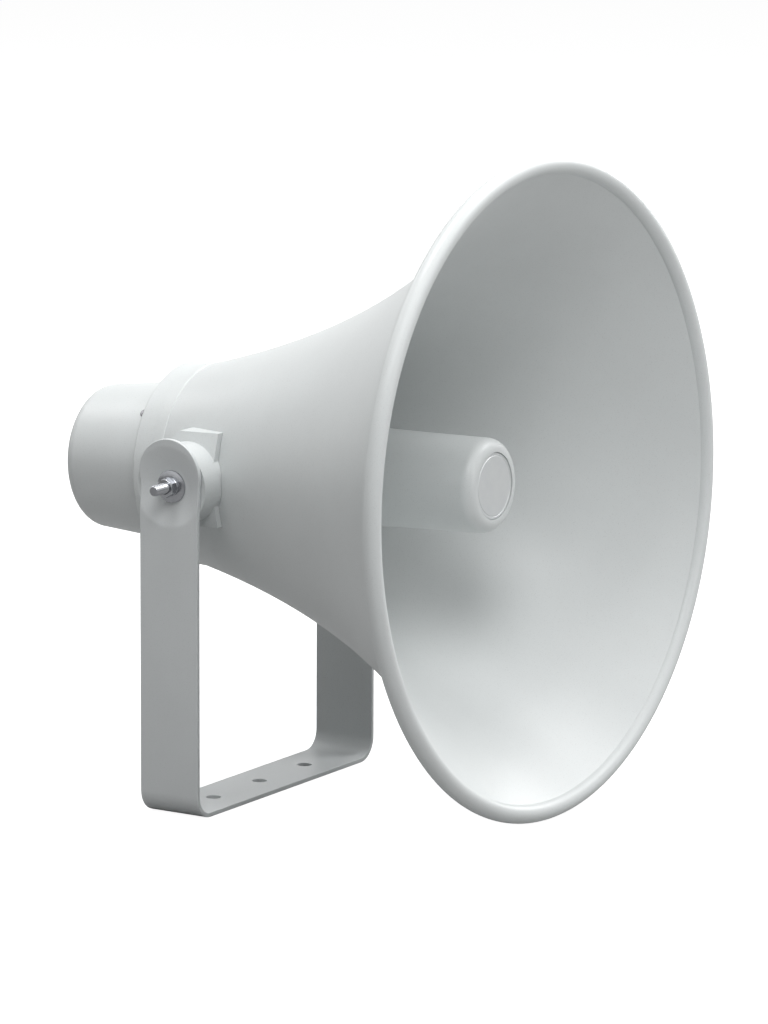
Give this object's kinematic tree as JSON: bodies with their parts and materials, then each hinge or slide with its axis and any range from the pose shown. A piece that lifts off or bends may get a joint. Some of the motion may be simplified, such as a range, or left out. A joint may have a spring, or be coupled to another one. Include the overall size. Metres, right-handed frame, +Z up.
{
  "type": "pa horn speaker",
  "caption": "Weatherproof folded public address horn with a round spun bell, a drum-shaped driver housing and a U bracket that lets it tilt.",
  "frame": {"origin": "centre of the underside of the bracket's base, which is the face that is bolted down", "axes": "+X across the bracket along the tilt axis, the mouth looks toward -Y, +Z up from the base"},
  "size_m": [0.4899, 0.4259, 0.4996],
  "materials": {
    "painted_steel": "satin",
    "painted_aluminium": "satin",
    "painted_casting": "satin",
    "bare_aluminium": "satin",
    "disc_aluminium": "satin",
    "zinc_steel": "satin",
    "plated_steel": "satin",
    "core_steel": "matte",
    "ferrite": "matte",
    "gasket_rubber": "matte",
    "black_plastic": "matte",
    "grey_plastic": "matte",
    "terminal_plastic": "matte",
    "terminal_brass": "satin",
    "phenolic": "satin",
    "copper_winding": "satin",
    "wound_coil": "matte"
  },
  "bodies": {
    "bracket": {"u_bracket": "painted_steel"},
    "horn": {"bell": "painted_aluminium", "throat_casting": "painted_casting", "clamp_ring": "bare_aluminium", "clamp_screws": "zinc_steel", "rear_cover": "painted_aluminium", "cover_gasket": "gasket_rubber", "cover_screws": "zinc_steel", "reflector": "painted_aluminium", "front_disc": "disc_aluminium", "reflector_screw": "zinc_steel", "reflector_post": "bare_aluminium", "tone_arm": "bare_aluminium", "tone_arm_screws": "zinc_steel", "phase_plug": "black_plastic", "diaphragm": "phenolic", "voice_coil": "copper_winding", "diaphragm_ring": "black_plastic", "top_plate": "plated_steel", "magnet": "ferrite", "pole_yoke": "plated_steel", "driver_screws": "zinc_steel", "transformer_frame": "plated_steel", "transformer_core": "core_steel", "transformer_winding": "wound_coil", "frame_screws": "zinc_steel", "terminal_block": "terminal_plastic", "terminal_screws": "terminal_brass", "gland_body": "grey_plastic", "gland_seal": "gasket_rubber", "gland_cap": "grey_plastic", "gland_nut": "grey_plastic", "pivot_studs": "zinc_steel", "flat_washers": "zinc_steel", "spring_washers": "zinc_steel", "hinge_nuts": "zinc_steel"}
  },
  "joints": [
    {"name": "tilt", "type": "hinge", "parent": "bracket", "child": "horn", "pos_m": [0, 0, 0.25], "axis": [-1, 0, 0], "range_deg": [-1.5, 178]}
  ]
}
